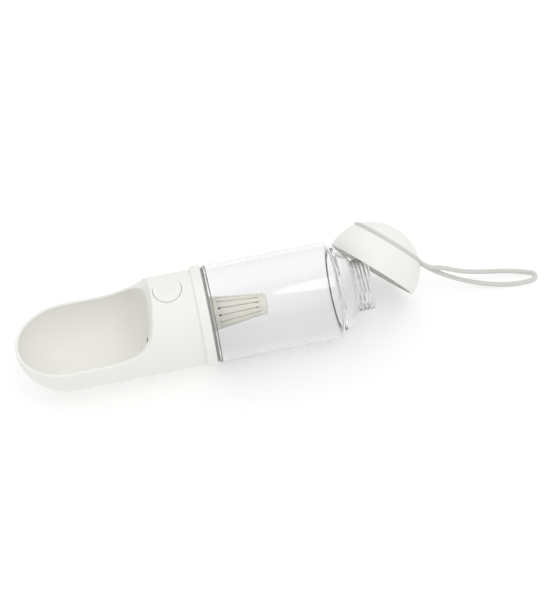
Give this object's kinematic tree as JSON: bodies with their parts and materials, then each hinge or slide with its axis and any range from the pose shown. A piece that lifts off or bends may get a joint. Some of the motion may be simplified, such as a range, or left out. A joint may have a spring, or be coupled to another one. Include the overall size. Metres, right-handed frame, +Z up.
{
  "type": "dog travel water bottle",
  "caption": "Clear bottle on its side with a screwed-on drinking trough, push-button valve, inner filter, and an unscrewed dome cap with a round strap.",
  "frame": {"origin": "centre of the filling neck's mouth, on the bottle's axis", "axes": "+X along the bottle's axis, out of the filling neck and away from the trough; +Z up, through the trough's opening and the push button; the bottle lies on its side"},
  "size_m": [0.3821, 0.0896, 0.072],
  "materials": {
    "clear_plastic": "clear, polished",
    "white_plastic": "fine matte",
    "cream_plastic": "satin",
    "stem_plastic": "satin",
    "grey_rubber": "soft",
    "strap_grey": "soft silicone",
    "spring_steel": "drawn wire",
    "foam": "open foam",
    "fleece": "needled fleece",
    "carbon": "granular"
  },
  "bodies": {
    "bottle": {"bottle_body": "clear_plastic"},
    "seal": {"main_seal": "grey_rubber"},
    "head": {"head_base": "white_plastic", "trough_housing": "white_plastic", "valve_body": "stem_plastic", "valve_seat": "grey_rubber", "stem_seal": "grey_rubber", "stem_bush": "stem_plastic", "column_plug": "white_plastic", "column_plug_seal": "grey_rubber", "outlet_tube": "grey_rubber", "filter_ring": "grey_rubber", "button_spring": "spring_steel"},
    "button": {"push_button": "white_plastic", "valve_stem": "stem_plastic", "valve_plug": "grey_rubber"},
    "filter": {"filter_base": "cream_plastic", "filter_cage": "cream_plastic", "filter_end_cap": "cream_plastic", "filter_foam": "foam", "filter_wrap": "fleece", "filter_core": "carbon"},
    "cap": {"cap_shell": "white_plastic", "cap_liner": "white_plastic", "cap_gasket": "grey_rubber", "strap_ring": "strap_grey", "strap_loop": "strap_grey"}
  },
  "joints": [
    {"name": "head_travel", "type": "slide", "parent": "bottle", "child": "seal", "axis": [-1, 0, 0], "range_m": [0, 0.009]},
    {"name": "head_turn", "type": "hinge", "parent": "seal", "child": "head", "pos_m": [-0.1152, 0, 0], "axis": [-1, 0, 0], "range_deg": [0, 720]},
    {"name": "button_press", "type": "slide", "parent": "head", "child": "button", "axis": [0, 0, -1], "range_m": [0, 0.003], "stiffness_N_per_m": 700, "springref_m": -0.004, "deforming": ["button_spring"]},
    {"name": "filter_pull", "type": "slide", "parent": "head", "child": "filter", "axis": [1, 0, 0], "range_m": [0, 0.012]},
    {"name": "cap_lift_off", "type": "slide", "parent": "bottle", "child": "cap", "axis": [0.6721, 0.5232, 0.524], "range_m": [0, 0.085]}
  ],
  "couplings": [
    {"joint": "head_travel", "follows": "head_turn", "m_per_rad": 0.000716}
  ]
}
